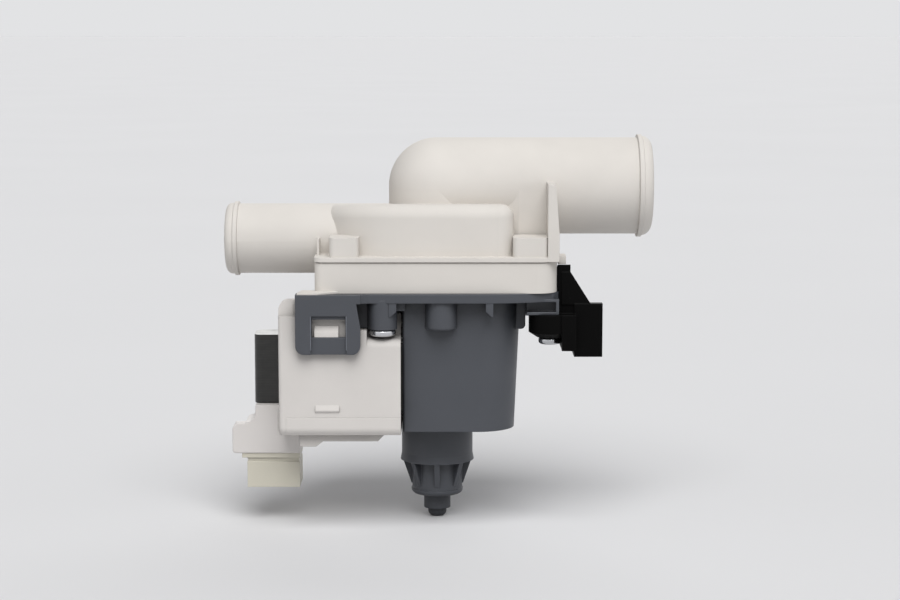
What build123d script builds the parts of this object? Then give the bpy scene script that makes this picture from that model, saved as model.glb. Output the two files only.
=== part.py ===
from build123d import *
import math
import os

# A drain pump with a synchronous motor, in millimetres.
# The rotor axis is the Z axis, and z = 0 is the middle of the boss under the rotor well,
# which a rubber foot holds.
# X points to the inlet, and the front, with the latch and the screw, faces -Y.

# Fits
running_fit = 0.04
seat_fit = 0.03
sliding_gap = 0.3
screw_fit = 0.05

# Tip, boss and ribbed cone of the rotor well
tip_radius = 3.7
tip_length = 3.6
tip_round = 2.2
tail_boss_radius = 5.3
tail_boss_length = 5.9
tail_foot_radius = 10.3
tail_foot_height = 2.2
tail_foot_round = 1.8
tail_cone_height = 11.7
tail_core_radius = 10.0
tail_rib_count = 8
tail_rib_thickness = 2.1
tail_rib_inset = 0.4
tail_rib_start = 1.8
well_radius = 14.1
well_length = 16.3
well_rim_proud = 0.5
well_rim_height = 2.8
well_bore_radius = 11.5
well_floor = 3.0

# Pole block round the rotor well
block_height = 50.75
block_left = 13.1
block_right = 32.4
block_draft = 2.3
block_corner = 14.5
block_wall = 2.0
inner_well_radius = 13.0
shelf_thickness = 1.8

# Laminated core
stack_height = 27.3
stack_above_block = 7.2
limb_width = 13.0
limb_spacing = 30.0
limb_reach = 24.5
limb_end_round = 12.5
yoke_left = 58.0
yoke_width = 10.0
lug_depth = 14.5
lug_left = 72.1
lug_corner = 2.9
pole_gap = 0.3
shoe_left = 11.0
shoe_right = 19.0
shoe_inner = 5.0
core_fit = 0.1

# Coils
bobbin_wall = 1.0
bobbin_flange = 1.2
winding_build = 4.0
tape_thickness = 0.2
coil_gap_to_yoke = 0.4
coil_gap_to_notch = 0.4
protector_length = 13.5
protector_width = 8.0
protector_height = 3.4

# Coil cover
cover_wall = 1.8
cover_below_stack = 7.9
cover_above_stack = 11.1
coil_to_cover = 0.4
cover_left = 60.3
cover_step_y = 1.0
cover_to_block = 0.6
cover_corner = 1.6
cover_under_round = 3.2
screw_room_behind = 0.8
screw_room_under = 0.35
cover_notch_slope = 1.0
cover_notch_wall = 1.2
cover_notch_round = 3.0
shoulder_height = 5.8
shoulder_setback = 2.5
shoulder_round = 3.6
shoulder_reach = 6.6
shoulder_depth = 6.0
shoulder_lean = 2.0
shelf_height = 4.7
shelf_right = 31.8
shelf_depth = 12.0
lug_window_fit = 0.3
grip_left = 46.3
grip_right = 37.2
grip_height = 3.1
grip_above_base = 9.05
grip_proud = 0.55
band_height = 7.2
band_proud = 0.2
band_end = 58.6
spur_height = 9.7
spur_proud = 0.8
spur_front = 33.0
spur_back = 13.0
skid_left = 52.7
skid_right = 19.8
skid_thickness = 2.9
skid_inset = 5.0
skid_slant = 2.8
skid_heel_right = 43.7
skid_heel_thickness = 2.1

# Plate of the motor support
plate_thickness = 3.45
plate_left = 46.6
plate_right = 46.6
plate_front = 37.0
plate_back = 36.0
plate_straight_end = 16.0
plate_corner_x = 44.5
plate_corner_y = 31.0
plate_corner = 9.0

# Latch tab and its ear at the left of the plate
tab_left = 53.5
tab_right = 28.9
tab_front = 39.0
tab_thickness = 2.6
tab_drop = 22.8
tab_corner = 3.2
tab_waist = 1.5
tab_waist_drop = 12.5
ear_depth = 8.6
ear_corner = 3.0
ear_slant = 2.0
window_left = 47.3
window_right = 34.5
window_top = 9.4
window_height = 6.85
strip_depth = 0.9
strip_edge = 0.5
strip_above_window = 1.3
catch_left = 46.3
catch_right = 37.2
catch_height = 4.25
catch_proud = 2.5
catch_lip = 0.5
catch_face_height = 2.1

# Bosses and ribs under the plate
screw_boss_x = 20.7
screw_boss_y = 31.5
screw_boss_radius = 5.65
screw_boss_drop = 10.3
rear_right_screw_x = 38.5
rear_right_screw_y = 27.0
tie_thickness = 1.5
tie_drop = 10.2
tie_left = 31.2
tie_inset = 6.0
boss_web_inset = 3.5
boss_web_depth = 4.0
boss_web_drop = 3.3
blind_boss_x = 1.7
blind_boss_y = 30.0
blind_boss_radius = 6.1
blind_boss_drop = 10.6
blind_boss_round = 0.9
plate_rib_width = 2.8
plate_rib_drop = 5.2
plate_rib_short_drop = 3.2
plate_rib_left_x = 16.7
plate_rib_right_x = 20.1
plate_rib_depth = 7.0
column_left = 30.7
column_right = 34.2
column_drop = 11.85
column_front = 22.0
column_depth = 8.0

# Seat for the bracket at the right end of the plate
seat_left = 34.4
seat_right = 46.6
seat_front = 32.6
seat_back = 17.5
seat_drop = 5.0
seat_shelf = 1.1
seat_pocket_depth = 3.8

# Housing screws
screw_shank_radius = 2.0
screw_head_radius = 5.1
screw_head_height = 2.7
screw_length = 24.0
cross_length = 4.6
cross_width = 1.0
cross_depth = 1.6

# Seal between the support and the volute
seal_cord_radius = 1.3
seal_ring_radius = 26.1
seal_groove_width = 3.0
seal_groove_depth = 1.6

# Lower chamber, skirt and rim of the volute housing
chamber_radius = 25.0
housing_wall = 2.2
chamber_foot_gap = 1.0
skirt_left = 46.4
skirt_right = 46.0
skirt_front = 34.6
skirt_height = 11.6
skirt_corner = 8.0
skirt_left_corner = 3.0
skirt_wall = 2.0
rim_left = 46.6
rim_right = 47.2
rim_front = 35.2
rim_corner = 9.0
rim_left_corner = 3.2
rim_thickness = 1.75
rim_groove = 0.4
post_radius = 4.2
base_web_thickness = 1.8

# Pot above the rim
pot_left = 44.3
pot_right = 29.5
pot_front = 31.0
pot_back = 31.0
pot_height = 20.05
pot_slope = 4.6
pot_left_corner = 29.0
pot_front_corner = 6.0
pot_back_corner = 24.0
pot_edge_round = 5.0

# Pipes
bead_slant = 0.3

# Outlet pipe
outlet_y = -6.5
outlet_above_rim = 4.65
outlet_radius = 13.6
outlet_bore = 11.4
outlet_reach = 82.1
outlet_bead_x = 77.0
outlet_bead_width = 2.0
outlet_bead_radius = 14.45
outlet_lip_radius = 13.85
outlet_lip_round = 2.4

# Inlet elbow
inlet_above_rim = 24.8
inlet_radius = 18.9
inlet_bore = 16.7
inlet_reach = 84.0
inlet_bead_x = 78.1
inlet_bead_width = 2.2
inlet_bead_radius = 20.1
inlet_lip_radius = 19.6
inlet_lip_round = 4.2

# Bosses, wall, rib and gusset that stand on the rim
left_boss_left = 40.8
left_boss_right = 29.6
right_boss_left = 29.0
right_boss_right = 42.2
rim_boss_height = 7.45
rim_boss_front = 34.3
rim_boss_depth = 14.0
rim_boss_corner = 2.0
end_wall_thickness = 1.0
end_wall_height = 6.3
end_wall_front = 26.0
end_wall_back = 18.0
inlet_rib_left = 42.2
inlet_rib_top_width = 3.0
inlet_rib_width = 4.4
inlet_rib_knee = 8.8
inlet_rib_top = 27.6
inlet_web_thickness = 2.0
inlet_web_lap = 11.0
inlet_web_lean = 4.0
hook_left = 46.5
hook_right = 49.5
hook_front = 26.0
hook_back = 18.0
hook_drop = 3.4
hook_top_drop = 0.2
tongue_left = 52.8
tongue_front = 38.8
tongue_back = 30.2
tongue_right = 37.5
tongue_thickness = 0.8
tongue_slant = 1.3

# Black mounting bracket
blade_left = 46.75
blade_upper_left = 46.2
blade_top_width = 4.4
blade_waist_width = 6.4
blade_front = 28.0
blade_back = 15.0
blade_top_above_plate = 10.4
blade_neck = 2.8
blade_top_slope = 4.0
blade_foot_left = 47.8
blade_foot_front = 33.6
blade_foot_drop = 22.2
holder_left = 52.7
holder_right = 63.5
holder_front = 29.0
holder_back = 13.0
holder_top_drop = 4.55
holder_bottom_drop = 25.1
holder_top_depth = 4.0
holder_back_drop = 8.0
holder_wall = 2.0
bracket_web_front = 28.6
bracket_web_back = 25.6
bracket_web_reach = 59.2
bracket_boss_x = 43.5
bracket_boss_y = 26.0
bracket_boss_radius = 8.2
bracket_boss_length = 9.2
bracket_boss_slant_height = 2.0
bracket_boss_slant_width = 3.1
bracket_screw_length = 14.5
bracket_screw_head_radius = 4.4
bracket_screw_head_height = 2.7

# Terminal housing and connector under the core
terminal_left = 80.6
terminal_right = 54.2
terminal_front = 12.0
terminal_back = 6.0
terminal_height = 12.4
terminal_under_stack = 6.9
terminal_corner = 3.2
terminal_top_slope = 3.0
terminal_round = 1.2
neck_left = 71.4
neck_flare = 4.0
neck_back = 5.0
connector_left = 74.9
connector_front = 11.0
connector_back = 5.0
connector_flange_left = 76.9
connector_flange_height = 1.8
connector_height = 13.7
connector_wall = 1.5
connector_floor = 1.6
connector_groove_below = 2.2
connector_groove_height = 1.2
connector_groove_depth = 0.3
pin_spacing = 10.0
pin_width = 2.8
pin_thickness = 0.8
pin_tip_inset = 1.6

# Rotor, shaft and bearings
shaft_radius = 2.0
shaft_above_floor = 0.8
hub_radius = 4.0
hub_overhang = 1.6
magnet_radius = 10.9
magnet_length = 30.0
bearing_radius = 4.9
bearing_length = 5.0
cushion_radius = 7.4
washer_radius = 4.2
washer_thickness = 0.6
holder_disc_length = 9.6
shaft_seal_radius = 5.6
shaft_seal_length = 3.4
seal_cap_radius = 7.2
seal_cap_thickness = 0.9

# Impeller and its lost-motion coupling
impeller_above_plate = 2.8
impeller_radius = 21.5
impeller_disc = 1.5
impeller_height = 17.0
impeller_blade_count = 6
impeller_blade_thickness = 1.6
impeller_hub_radius = 8.5
coupling_radius = 7.0
coupling_depth = 11.5
coupling_roof = 2.6
driver_radius = 3.5
driver_height = 9.0
driver_lift = 2.2
lug_width = 56.0
damper_width = 12.0
clip_radius = 4.0
clip_thickness = 0.9
shaft_end = 0.9

# Heights that follow from the sizes above
z_boss = -tail_boss_length / 2
z_tip = z_boss - tip_length
z_foot = z_boss + tail_boss_length
z_cone = z_foot + tail_foot_height
z_collar = z_cone + tail_cone_height
z_block = z_collar + well_length
z_plate = z_block + block_height
z_plate_top = z_plate + plate_thickness
z_stack = z_block + stack_above_block
z_stack_top = z_stack + stack_height
z_rim = z_plate_top + skirt_height + rim_groove
z_rim_top = z_rim + rim_thickness
z_pot_top = z_rim_top + pot_height
z_outlet = z_rim_top + outlet_above_rim
z_inlet = z_rim_top + inlet_above_rim
z_impeller = z_plate_top + impeller_above_plate

# Plan sizes that follow from the sizes above
limb_inner = limb_spacing / 2
limb_outer = limb_inner + limb_width
block_half_depth = limb_outer + core_fit + block_wall
coil_build = bobbin_wall + winding_build + tape_thickness
cover_right = block_left + cover_to_block
z_cover = z_stack - cover_below_stack
z_cover_top = z_stack_top + cover_above_stack
coil_left = yoke_left - yoke_width - coil_gap_to_yoke
z_cover_rear = z_stack_top + core_fit + coil_build + coil_to_cover + cover_wall
cover_half_depth = limb_outer + core_fit + coil_build + coil_to_cover + cover_wall
tie_notch_left = tie_left + sliding_gap
cover_notch_left = screw_boss_x + screw_head_radius + screw_room_behind
cover_notch_depth = cover_half_depth - screw_boss_y + screw_head_radius + screw_room_behind
coil_right = tie_notch_left + cover_notch_wall + coil_gap_to_notch
z_terminal_top = z_stack - terminal_under_stack
z_terminal = z_terminal_top - terminal_height
z_connector = z_terminal - connector_height
tab_back = tab_front - tab_thickness
z_window_top = z_plate_top - window_top
z_window = z_window_top - window_height
z_notch_back = z_plate - screw_boss_drop - screw_head_height - screw_room_under
z_notch_front = z_notch_back - cover_notch_slope
z_tie_notch = z_plate - tie_drop - sliding_gap


def box(x0, x1, y0, y1, z0, z1):
    """A box between two corners."""
    corner = (Align.MIN, Align.MIN, Align.MIN)
    return Pos(x0, y0, z0) * Box(x1 - x0, y1 - y0, z1 - z0, align=corner)


def cylinder(radius, z0, z1, x=0.0, y=0.0):
    """An upright cylinder between two heights."""
    base = (Align.CENTER, Align.CENTER, Align.MIN)
    return Pos(x, y, z0) * Cylinder(radius, z1 - z0, align=base)


def ring(inner, outer, z0, z1, x=0.0, y=0.0):
    """An upright tube between two heights."""
    return cylinder(outer, z0, z1, x, y) - cylinder(inner, z0, z1, x, y)


def rounded_rectangle(x0, x1, y0, y1, radii):
    """A plan outline with its own radius at front left, front right, back right and back left."""
    corners = [(x0, y0), (x1, y0), (x1, y1), (x0, y1)]
    return make_face(FilletPolyline(*corners, radius=list(radii), close=True))


def upright(face, z0, z1):
    """A plan outline extruded between two heights."""
    return Pos(0, 0, z0) * extrude(face, z1 - z0, dir=(0, 0, 1))


def prism_along_y(points, y_front, y_back):
    """A prism along Y of an outline of (x, z) points."""
    face = make_face(Plane.XZ * Polyline(*points, close=True))
    return Pos(0, y_back, 0) * extrude(face, y_back - y_front, dir=(0, -1, 0))


def prism_along_x(points, x0, x1):
    """A prism along X of an outline of (y, z) points."""
    face = make_face(Plane.YZ * Polyline(*points, close=True))
    return Pos(x0, 0, 0) * extrude(face, x1 - x0, dir=(1, 0, 0))


def ring_sector(inner, outer, middle, width, z0, z1):
    """A sector of a ring, centred on an angle in degrees."""
    outside = CenterArc((0, 0), outer, middle - width / 2, width)
    inside = CenterArc((0, 0), inner, middle - width / 2, width)
    sides = [Line(outside @ 0, inside @ 0), Line(outside @ 1, inside @ 1)]
    return upright(make_face([outside, inside] + sides), z0, z1)


def mirrored_in_y(solid):
    """A solid together with its mirror image behind the XZ plane."""
    return solid + mirror(solid, about=Plane.XZ)


def housing_screw_places():
    """Plan places of the screws that hold the support to the volute."""
    return [(-screw_boss_x, -screw_boss_y), (-screw_boss_x, screw_boss_y),
            (rear_right_screw_x, rear_right_screw_y)]


# Motor support

def well_tail():
    """The ribbed lower end of the rotor well, with its boss and tip."""
    tip = cylinder(tip_radius, z_tip, z_boss + 1)
    tip = fillet(tip.edges().sort_by(Axis.Z)[0], tip_round)
    boss = cylinder(tail_boss_radius, z_boss, z_foot + tail_foot_round)
    foot = cylinder(tail_foot_radius, z_foot, z_cone)
    foot = fillet(foot.edges().sort_by(Axis.Z)[0], tail_foot_round)
    tail = tip + boss + foot + cylinder(tail_core_radius, z_cone, z_collar)
    outline = [(0, z_cone), (tail_foot_radius, z_cone + tail_rib_start),
               (well_radius - tail_rib_inset, z_collar), (0, z_collar)]
    rib = prism_along_y(outline, -tail_rib_thickness / 2, tail_rib_thickness / 2)
    for index in range(tail_rib_count):
        tail += Rot(0, 0, 360 / tail_rib_count * index) * rib
    base = (Align.CENTER, Align.CENTER, Align.MIN)
    flare = Cone(well_radius + well_rim_proud, well_radius, well_rim_height, align=base)
    return tail + Pos(0, 0, z_collar) * flare + cylinder(well_radius, z_collar, z_block)


def block_shell():
    """The open-sided block that takes the core limbs, with its shelves and the inner well."""
    depth = block_half_depth
    radii = (1.0, block_corner, block_corner, 1.0)
    low = rounded_rectangle(-block_left, block_right - block_draft, -depth, depth, radii)
    high = rounded_rectangle(-block_left, block_right, -depth, depth, radii)
    block = loft([Pos(0, 0, z_block) * low, Pos(0, 0, z_plate) * high])
    inner_radii = (0.5, block_corner - block_wall, block_corner - block_wall, 0.5)
    right = block_right - block_draft - block_wall
    inner = rounded_rectangle(-block_left - 1, right, block_wall - depth, depth - block_wall,
                              inner_radii)
    hollow = upright(inner, z_block + block_wall, z_plate)
    shelf_low = upright(inner, z_stack - core_fit - shelf_thickness, z_stack - core_fit)
    shelf_high = upright(inner, z_stack_top + core_fit, z_stack_top + core_fit + shelf_thickness)
    left_trim = box(-block_left - 2, -block_left, -depth, depth, z_block, z_plate)
    hollow = hollow - shelf_low - shelf_high
    return block - hollow - left_trim + cylinder(inner_well_radius, z_block, z_plate)


def plate_blank():
    """The plate with its long straight front edge and the curve at its right."""
    left_back = (-plate_left, plate_back)
    left_front = (-plate_left, -plate_front)
    middle = (plate_straight_end + 0.55 * (plate_corner_x - plate_straight_end),
              -plate_front + 0.27 * (plate_front - plate_corner_y))
    curve = ThreePointArc((plate_straight_end, -plate_front), middle,
                          (plate_corner_x, -plate_corner_y))
    lines = [Line(left_back, left_front), Line(left_front, (plate_straight_end, -plate_front)),
             curve, Line((plate_corner_x, -plate_corner_y), (plate_right, 3 - plate_corner_y)),
             Line((plate_right, 3 - plate_corner_y), (plate_right, plate_back)),
             Line((plate_right, plate_back), left_back)]
    plate = upright(make_face(lines), z_plate, z_plate_top)
    back_edges = plate.edges().filter_by(Axis.Z).sort_by(Axis.Y)[-2:]
    return fillet(back_edges, plate_corner)


def latch_tab():
    """The latch tab with its window, recessed strip and the ear that carries it."""
    low = z_plate_top - tab_drop
    tab = box(-tab_left, -tab_right, -tab_front, -tab_back, low, z_plate_top)
    tab = fillet(tab.edges().filter_by(Axis.Y).sort_by(Axis.Z)[:2], tab_corner)
    waist = [(-tab_right, z_plate_top - tab_waist_drop), (-tab_right - tab_waist, z_plate),
             (1 - tab_right, z_plate)]
    tab -= prism_along_y(waist, -tab_front - 1, 1 - tab_back)
    ear_right = ear_slant - tab_right
    plan = Polyline((-tab_left, -tab_front), (-tab_right - tab_waist, -tab_front),
                    (ear_right, -plate_front), (ear_right, ear_depth - tab_front),
                    (-tab_left, ear_depth - tab_front), close=True)
    ear = upright(make_face(plan), z_plate, z_plate_top)
    back_left = ear.edges().filter_by(Axis.Z).sort_by(Axis.Y)[-2:].sort_by(Axis.X)[0]
    ear = fillet(back_left, ear_corner)
    face = -tab_front
    floor = strip_depth - tab_front
    cut = make_face(Polyline((-window_left - strip_edge, face), (-window_left, floor),
                             (-window_right, floor), (strip_edge - window_right, face),
                             close=True))
    strip = upright(cut, low, z_window_top + strip_above_window)
    window = box(-window_left, -window_right, -tab_front, -tab_back, z_window, z_window_top)
    return tab + ear - strip - window


def plate_rib(x, side):
    """A rib that hangs from the front edge of the plate, longer at its outer side."""
    outer = x + side * plate_rib_width / 2
    inner = x - side * plate_rib_width / 2
    outline = [(outer, z_plate_top - 1), (outer, z_plate - plate_rib_drop),
               (outer - side * plate_rib_width / 4, z_plate - plate_rib_drop),
               (inner, z_plate - plate_rib_short_drop), (inner, z_plate_top - 1)]
    front = 0.2 - plate_front
    return prism_along_y(outline, front, front + plate_rib_depth)


def column():
    """The rounded column beside the block, under the plate."""
    post = box(column_left - 4, column_right, -column_front, column_depth - column_front,
               z_plate - column_drop, z_plate + 1)
    corner = post.edges().filter_by(Axis.Y).sort_by(Axis.Z)[:2].sort_by(Axis.X)[-1]
    return fillet(corner, 1.8)


def bracket_seat():
    """The seat that the bracket is screwed to, with its pocket open to the front."""
    low = z_plate - seat_drop
    seat = box(seat_left, seat_right, -seat_front, -seat_back, low, z_plate + 1)
    pocket = box(seat_left - 1, seat_right - seat_shelf, -seat_front - 1,
                 seat_pocket_depth - seat_front, low + seat_shelf, z_plate)
    return seat - pocket


def screw_boss(x, y):
    """A boss under the plate for a housing screw."""
    return cylinder(screw_boss_radius, z_plate - screw_boss_drop, z_plate + 1, x, y)


def motor_support():
    """The one-piece motor support: plate, tab, bosses, block and rotor well."""
    support = plate_blank() + block_shell() + latch_tab() + column() + well_tail()
    support += plate_rib(-plate_rib_left_x, -1) + plate_rib(plate_rib_right_x, 1)
    support += bracket_seat()
    blind = cylinder(blind_boss_radius, z_plate - blind_boss_drop, z_plate + 1,
                     blind_boss_x, -blind_boss_y)
    support += fillet(blind.edges().sort_by(Axis.Z)[0], blind_boss_round)
    tie_front = tie_inset - plate_front
    tie = box(-tie_left, -screw_boss_x, tie_front, tie_front + tie_thickness,
              z_plate - tie_drop, z_plate + 1)
    support += tie
    web_front = boss_web_inset - plate_front
    support += box(-screw_boss_x, 1 - block_left, web_front, web_front + boss_web_depth,
                   z_plate - boss_web_drop, z_plate + 1)
    for x, y in housing_screw_places():
        support += screw_boss(x, y)
    for x, y in housing_screw_places():
        support -= cylinder(screw_shank_radius + screw_fit, z_plate - screw_boss_drop - 1,
                            z_plate_top + 1, x, y)
    z_floor = z_collar + well_floor
    pocket_top = z_floor + bearing_length + washer_thickness
    support -= cylinder(cushion_radius + seat_fit, z_floor, pocket_top + 1)
    support -= cylinder(well_bore_radius, pocket_top, z_plate_top + 1)
    support -= cylinder(screw_shank_radius + screw_fit, z_plate - seat_drop - 1,
                        z_plate - seat_drop + bracket_screw_length - bracket_boss_length,
                        bracket_boss_x, -bracket_boss_y)
    support -= ring(seal_ring_radius - seal_groove_width / 2,
                    seal_ring_radius + seal_groove_width / 2,
                    z_plate_top - seal_groove_depth, z_plate_top + 1)
    return support


# Volute housing

def sloping_lid(drop):
    """Everything above the sloping top of the pot, lowered by a wall."""
    corner = (Align.CENTER, Align.MIN, Align.MIN)
    lid = Box(300, 300, 60, align=corner)
    return Pos(0, -pot_front - 20, z_pot_top - drop) * Pos(0, 20, 0) * Rot(-pot_slope, 0, 0) * (
        Pos(0, -20, 0) * lid)


def pot():
    """The pot with its sloping top and rounded top edge."""
    radii = (pot_left_corner, pot_front_corner, pot_back_corner, pot_left_corner)
    plan = rounded_rectangle(-pot_left, pot_right, -pot_front, pot_back, radii)
    solid = upright(plan, z_rim, z_pot_top + 4) - sloping_lid(0)
    top = solid.faces().sort_by(Axis.Z)[-1]
    return fillet(top.edges(), pot_edge_round)


def pot_hollow():
    """The space inside the pot."""
    wall = housing_wall
    radii = [r - wall for r in (pot_left_corner, pot_front_corner, pot_back_corner,
                                pot_left_corner)]
    plan = rounded_rectangle(wall - pot_left, pot_right - wall, wall - pot_front,
                             pot_back - wall, radii)
    return upright(plan, z_rim_top, z_pot_top + 4) - sloping_lid(wall)


def skirt():
    """The skirt that stands on the support, its screw posts and the chamber wall."""
    front = skirt_front
    top = z_rim - rim_groove
    radii = [skirt_left_corner] + [skirt_corner] * 3
    outer = rounded_rectangle(-skirt_left, skirt_right, -front, front, radii)
    inset = rounded_rectangle(rim_groove - skirt_left, skirt_right - rim_groove,
                              rim_groove - front, front - rim_groove,
                              [radius - rim_groove for radius in radii])
    inner = rounded_rectangle(skirt_wall - skirt_left, skirt_right - skirt_wall,
                              skirt_wall - front, front - skirt_wall,
                              [radius - skirt_wall for radius in radii])
    shell = upright(outer, z_plate_top, top) + upright(inset, top, z_rim)
    shell -= upright(inner, z_plate_top, z_rim)
    for x, y in housing_screw_places():
        post = cylinder(post_radius, z_plate_top, z_rim, x, y)
        shell += post & upright(inset, z_plate_top, z_rim)
    return shell + cylinder(chamber_radius + housing_wall, z_plate_top + chamber_foot_gap, z_rim)


def pipe_end(radius, bead_x, bead_width, bead_radius, lip_radius, lip_round, reach):
    """A pipe along X from the origin, with a bead and a rounded lip at its end."""
    outline = [(0, 0), (0, radius), (bead_x, radius), (bead_x + bead_slant, bead_radius),
               (bead_x + bead_width - bead_slant, bead_radius),
               (bead_x + bead_width, lip_radius), (reach - lip_round, lip_radius)]
    path = Polyline(*outline)
    turn = RadiusArc((reach - lip_round, lip_radius), (reach, lip_radius - lip_round), lip_round)
    end = Polyline((reach, lip_radius - lip_round), (reach, 0), (0, 0))
    return revolve(make_face(path.edges() + turn.edges() + end.edges()), axis=Axis.X)


def outlet_pipe():
    """The outlet pipe, which leaves to the left."""
    pipe = pipe_end(outlet_radius, outlet_bead_x, outlet_bead_width, outlet_bead_radius,
                    outlet_lip_radius, outlet_lip_round, outlet_reach)
    return Pos(0, outlet_y, z_outlet) * Rot(0, 0, 180) * pipe


def inlet_elbow():
    """The inlet elbow, which rises from the pot and turns to the right."""
    pipe = pipe_end(inlet_radius, inlet_bead_x, inlet_bead_width, inlet_bead_radius,
                    inlet_lip_radius, inlet_lip_round, inlet_reach)
    riser = cylinder(inlet_radius, z_rim_top + 1, z_inlet)
    return riser + Pos(0, 0, z_inlet) * (pipe + Sphere(inlet_radius))


def along_x(radius, x0, x1, y, z):
    """A cylinder along X between two places."""
    base = (Align.CENTER, Align.CENTER, Align.MIN)
    return Pos(x0, y, z) * Rot(0, 90, 0) * Cylinder(radius, x1 - x0, align=base)


def water_way():
    """The bores of both pipes, the pot and the round chamber under it."""
    inlet = along_x(inlet_bore, 0, inlet_reach + 1, 0, z_inlet)
    riser = cylinder(inlet_bore, z_rim_top + 1, z_inlet)
    elbow = Pos(0, 0, z_inlet) * Sphere(inlet_bore)
    outlet = along_x(outlet_bore, -outlet_reach - 1, -chamber_radius / 2, outlet_y, z_outlet)
    chamber = cylinder(chamber_radius, z_plate_top, z_rim_top + 1)
    return inlet + riser + elbow + outlet + pot_hollow() + chamber


def rim_boss(x0, x1):
    """A boss that stands on the rim at the front."""
    boss = box(x0, x1, -rim_boss_front, rim_boss_depth - rim_boss_front, z_rim,
               z_rim_top + rim_boss_height)
    fronts = boss.edges().filter_by(Axis.Z).sort_by(Axis.Y)[:2]
    return fillet(fronts, rim_boss_corner)


def inlet_rib():
    """The rib that carries the inlet pipe, wider below, and the web from it to the pot."""
    z_top = z_rim_top + inlet_rib_top
    right = inlet_rib_left + inlet_rib_width
    face = [(inlet_rib_left, z_rim), (inlet_rib_left, z_top),
            (inlet_rib_left + inlet_rib_top_width, z_top),
            (right, z_rim_top + inlet_rib_knee), (right, z_rim)]
    rib = prism_along_y(face, -rim_boss_front, 0)
    front = -inlet_radius
    start = pot_right - inlet_web_lap
    plan = Polyline((start, front + inlet_web_lean), (pot_right + inlet_web_thickness, front),
                    (inlet_rib_left + 1, front), (inlet_rib_left + 1, front + inlet_web_lean),
                    (start, front + inlet_web_lean + inlet_web_thickness), close=True)
    return rib + upright(make_face(plan), z_rim, z_inlet)


def rim_fittings():
    """What stands on the rim: bosses, the end wall, the inlet rib and the hook."""
    fittings = rim_boss(-left_boss_left, -left_boss_right)
    fittings += rim_boss(right_boss_left, right_boss_right)
    wall_left = -skirt_left + 0.5
    fittings += box(wall_left, wall_left + end_wall_thickness, -end_wall_front,
                    -end_wall_back, z_rim, z_rim_top + end_wall_height)
    fittings += inlet_rib()
    hook = box(hook_left, hook_right, -hook_front, -hook_back, z_rim_top - hook_drop,
               z_rim_top - hook_top_drop)
    return fittings + hook


def housing_screw_holes():
    """The holes that the housing screws cut in both mouldings of the volute."""
    z_end = z_plate - screw_boss_drop + screw_length + 0.5
    x, y = housing_screw_places()[0]
    holes = cylinder(screw_shank_radius + screw_fit, z_plate_top - 1, z_end, x, y)
    for x, y in housing_screw_places()[1:]:
        holes += cylinder(screw_shank_radius + screw_fit, z_plate_top - 1, z_end, x, y)
    return holes


def base_webs():
    """The webs that join the chamber wall and the rear right post to the skirt."""
    low = z_plate_top + chamber_foot_gap
    top = z_rim - rim_groove
    half = base_web_thickness / 2
    y = rear_right_screw_y
    webs = box(1 - skirt_left, skirt_right - 1, -half, half, low, top)
    webs += box(-half, half, 1 - skirt_front, skirt_front - 1, low, top)
    return webs + box(rear_right_screw_x, skirt_right - 1, y - half, y + half, low, top)


def volute_base():
    """The lower moulding, with a saddle for the outlet pipe and a tongue over the ear."""
    middle = -(tongue_left + tongue_right) / 2
    tongue = Polyline((-tongue_left, -tongue_front), (middle, -tongue_front),
                      (-tongue_right, -skirt_front), (middle, -tongue_back),
                      (tongue_slant - tongue_left, -tongue_back), close=True)
    base = skirt() + base_webs()
    base += upright(make_face(tongue), z_plate_top, z_plate_top + tongue_thickness)
    base -= cylinder(chamber_radius, z_plate_top, z_rim + 1)
    base -= along_x(outlet_radius + sliding_gap, -outlet_reach, -chamber_radius / 2,
                    outlet_y, z_outlet)
    return base - housing_screw_holes()


def volute_housing():
    """The upper moulding: rim, pot and both pipes."""
    plan = rounded_rectangle(-rim_left, rim_right, -rim_front, rim_front,
                             [rim_left_corner] + [rim_corner] * 3)
    housing = upright(plan, z_rim, z_rim_top) + pot() + outlet_pipe() + inlet_elbow()
    return housing + rim_fittings() - water_way() - housing_screw_holes()


# Core and coils

def stator_core():
    """The U-shaped laminated core with its lug and its pole shoes."""
    yoke = box(-yoke_left, yoke_width - yoke_left, -limb_outer, limb_outer,
               z_stack, z_stack_top)
    limb = box(-yoke_left, limb_reach, limb_inner, limb_outer, z_stack, z_stack_top)
    shoe = box(-shoe_left, shoe_right, shoe_inner, limb_inner, z_stack, z_stack_top)
    half = limb + shoe
    outer_end = half.edges().filter_by(Axis.Z).group_by(Axis.X)[-1].sort_by(Axis.Y)[-1]
    half = fillet(outer_end, limb_end_round)
    lug = box(-lug_left, -yoke_left + 1, -lug_depth / 2, lug_depth / 2, z_stack, z_stack_top)
    lug = fillet(lug.edges().filter_by(Axis.Z).sort_by(Axis.X)[:2], lug_corner)
    core = yoke + mirrored_in_y(half) + lug
    return core - cylinder(inner_well_radius + pole_gap, z_stack - 1, z_stack_top + 1)


def around_limb(x0, x1, grow, side):
    """A box round a limb, grown on every side but its ends."""
    near = limb_inner - grow
    far = limb_outer + grow
    solid = box(x0, x1, near, far, z_stack - grow, z_stack_top + grow)
    return solid if side > 0 else mirror(solid, about=Plane.XZ)


def bobbin(side):
    """A bobbin on one limb, with a flange at each end."""
    hole = around_limb(-coil_left - 1, 1 - coil_right, core_fit, side)
    tube = around_limb(-coil_left, -coil_right, core_fit + bobbin_wall, side)
    rim = core_fit + coil_build
    flange_left = around_limb(-coil_left, bobbin_flange - coil_left, rim, side)
    flange_right = around_limb(-coil_right - bobbin_flange, -coil_right, rim, side)
    return tube + flange_left + flange_right - hole


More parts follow.
